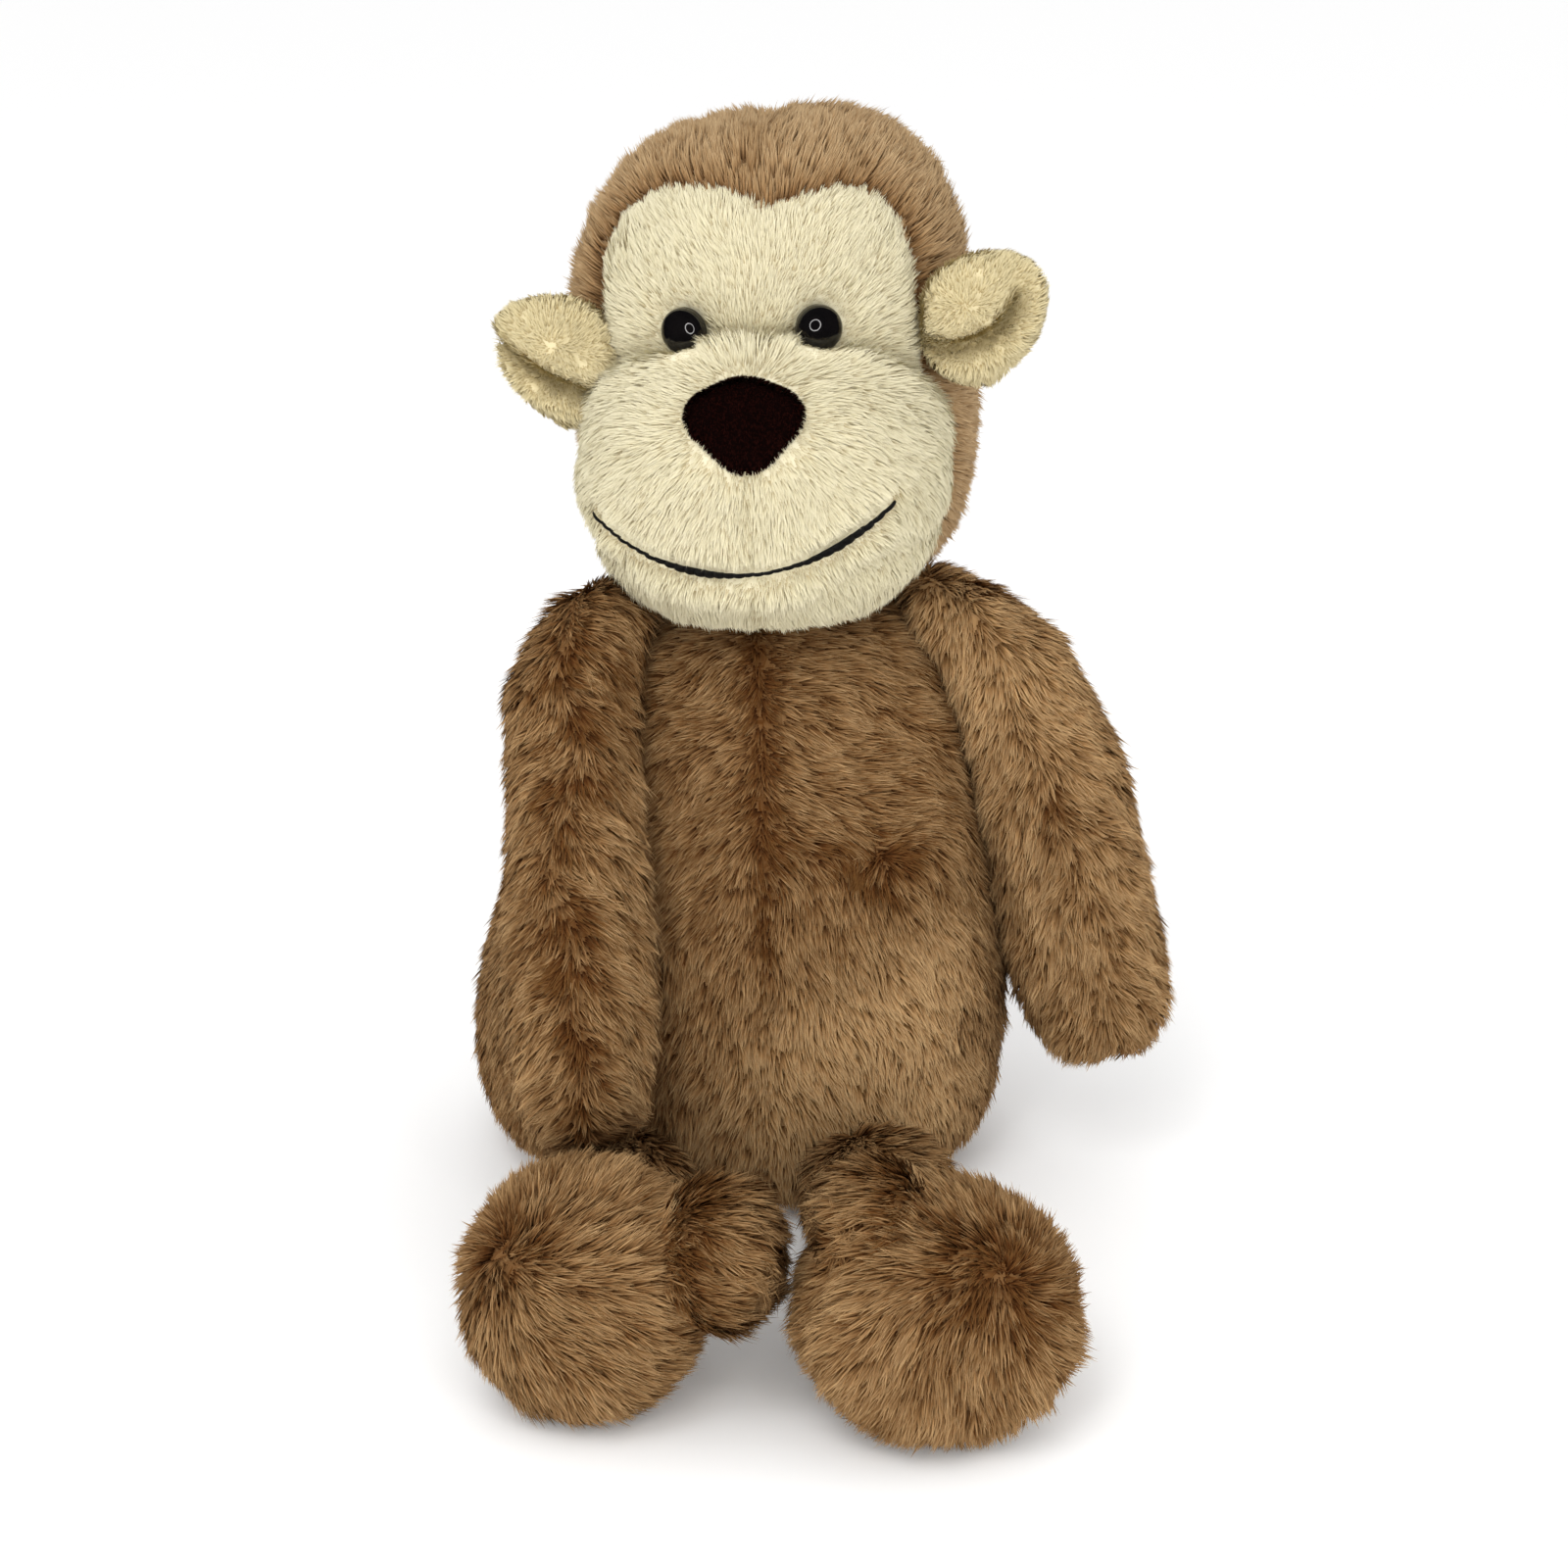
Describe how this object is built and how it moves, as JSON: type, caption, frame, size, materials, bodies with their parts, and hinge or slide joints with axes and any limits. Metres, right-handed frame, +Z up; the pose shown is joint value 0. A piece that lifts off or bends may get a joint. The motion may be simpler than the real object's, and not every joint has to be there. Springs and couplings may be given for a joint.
{
  "type": "stuffed monkey",
  "caption": "Seated plush monkey with a cream face, round ears, loose arms, big furry feet and a tail, sewn from panels around soft stuffing.",
  "frame": {"origin": "centre of the flat seat base, on the surface the toy sits on", "axes": "+Z up from the seat to the crown, the face looks along -Y, +X to the toy's left hand side as a viewer in front sees its right"},
  "size_m": [0.139, 0.2598, 0.2203],
  "materials": {
    "brown_plush": "matte",
    "head_plush": "matte",
    "cream_plush": "matte",
    "ear_plush": "matte",
    "nose_velvet": "matte",
    "black_thread": "matte",
    "brown_thread": "matte",
    "eye_plastic": "gloss",
    "washer_plastic": "matte",
    "stuffing": "matte",
    "bag_cloth": "matte",
    "pellets": "matte"
  },
  "bodies": {
    "torso": {"torso_front_left": "brown_plush", "torso_front_right": "brown_plush", "torso_back_left": "brown_plush", "torso_back_right": "brown_plush", "seat_base": "brown_plush", "torso_stuffing": "stuffing", "pellet_bag": "bag_cloth", "pellet_fill": "pellets"},
    "neck": {"neck_thread": "brown_thread"},
    "head": {"face_panel": "cream_plush", "head_back_left": "head_plush", "head_back_right": "head_plush", "muzzle_left": "cream_plush", "muzzle_right": "cream_plush", "chin_panel": "cream_plush", "head_stuffing": "stuffing", "nose": "nose_velvet", "mouth_stitching": "black_thread", "eye_left": "eye_plastic", "eye_right": "eye_plastic", "eye_washer_left": "washer_plastic", "eye_washer_right": "washer_plastic"},
    "tail": {"tail_skin": "brown_plush", "tail_stuffing": "stuffing"},
    "ear_left": {"ear_front_left": "ear_plush", "ear_back_left": "ear_plush"},
    "arm_left": {"arm_outer_left": "brown_plush", "arm_inner_left": "brown_plush", "arm_stuffing_left": "stuffing"},
    "leg_left": {"leg_upper_left": "brown_plush", "leg_lower_left": "brown_plush", "leg_stuffing_left": "stuffing", "foot_upper_left": "brown_plush", "sole_left": "brown_plush", "foot_stuffing_left": "stuffing", "big_toe_left": "brown_plush"},
    "ear_right": {"ear_front_right": "ear_plush", "ear_back_right": "ear_plush"},
    "arm_right": {"arm_outer_right": "brown_plush", "arm_inner_right": "brown_plush", "arm_stuffing_right": "stuffing"},
    "leg_right": {"leg_upper_right": "brown_plush", "leg_lower_right": "brown_plush", "leg_stuffing_right": "stuffing", "foot_upper_right": "brown_plush", "sole_right": "brown_plush", "foot_stuffing_right": "stuffing", "big_toe_right": "brown_plush"}
  },
  "joints": [
    {"name": "neck_nod", "type": "hinge", "parent": "torso", "child": "neck", "pos_m": [0.008, 0.002, 0.1258], "axis": [1, 0, 0], "range_deg": [-7, 5]},
    {"name": "neck_turn", "type": "hinge", "parent": "neck", "child": "head", "pos_m": [0.008, 0.002, 0.1258], "axis": [0, 0, 1], "range_deg": [-20, 20]},
    {"name": "shoulder_left", "type": "hinge", "parent": "torso", "child": "arm_left", "pos_m": [-0.034, -0.028, 0.118], "axis": [0.6293, 0.75, -0.2036], "range_deg": [-8, 75]},
    {"name": "shoulder_right", "type": "hinge", "parent": "torso", "child": "arm_right", "pos_m": [0.0475, -0.007, 0.117], "axis": [-0.9687, 0.1361, -0.2074], "range_deg": [-20, 70]},
    {"name": "hip_left", "type": "hinge", "parent": "torso", "child": "leg_left", "pos_m": [-0.026, -0.056, 0.014], "axis": [0, 0, -1], "range_deg": [0, 30]},
    {"name": "hip_right", "type": "hinge", "parent": "torso", "child": "leg_right", "pos_m": [0.027, -0.056, 0.014], "axis": [0, 0, 1], "range_deg": [0, 30]},
    {"name": "ear_left_flex", "type": "hinge", "parent": "head", "child": "ear_left", "pos_m": [-0.02968, -0.01518, 0.1752], "axis": [-0.0436, 0, 0.999], "range_deg": [-15, 15], "stiffness_Nm_per_rad": 0.003},
    {"name": "ear_right_flex", "type": "hinge", "parent": "head", "child": "ear_right", "pos_m": [0.0366, -0.02219, 0.1846], "axis": [0.0436, 0, -0.999], "range_deg": [-15, 15], "stiffness_Nm_per_rad": 0.003},
    {"name": "tail_swing", "type": "hinge", "parent": "torso", "child": "tail", "pos_m": [0, 0.0532, 0.0082], "axis": [0, 0, 1], "range_deg": [-20, 20]}
  ]
}
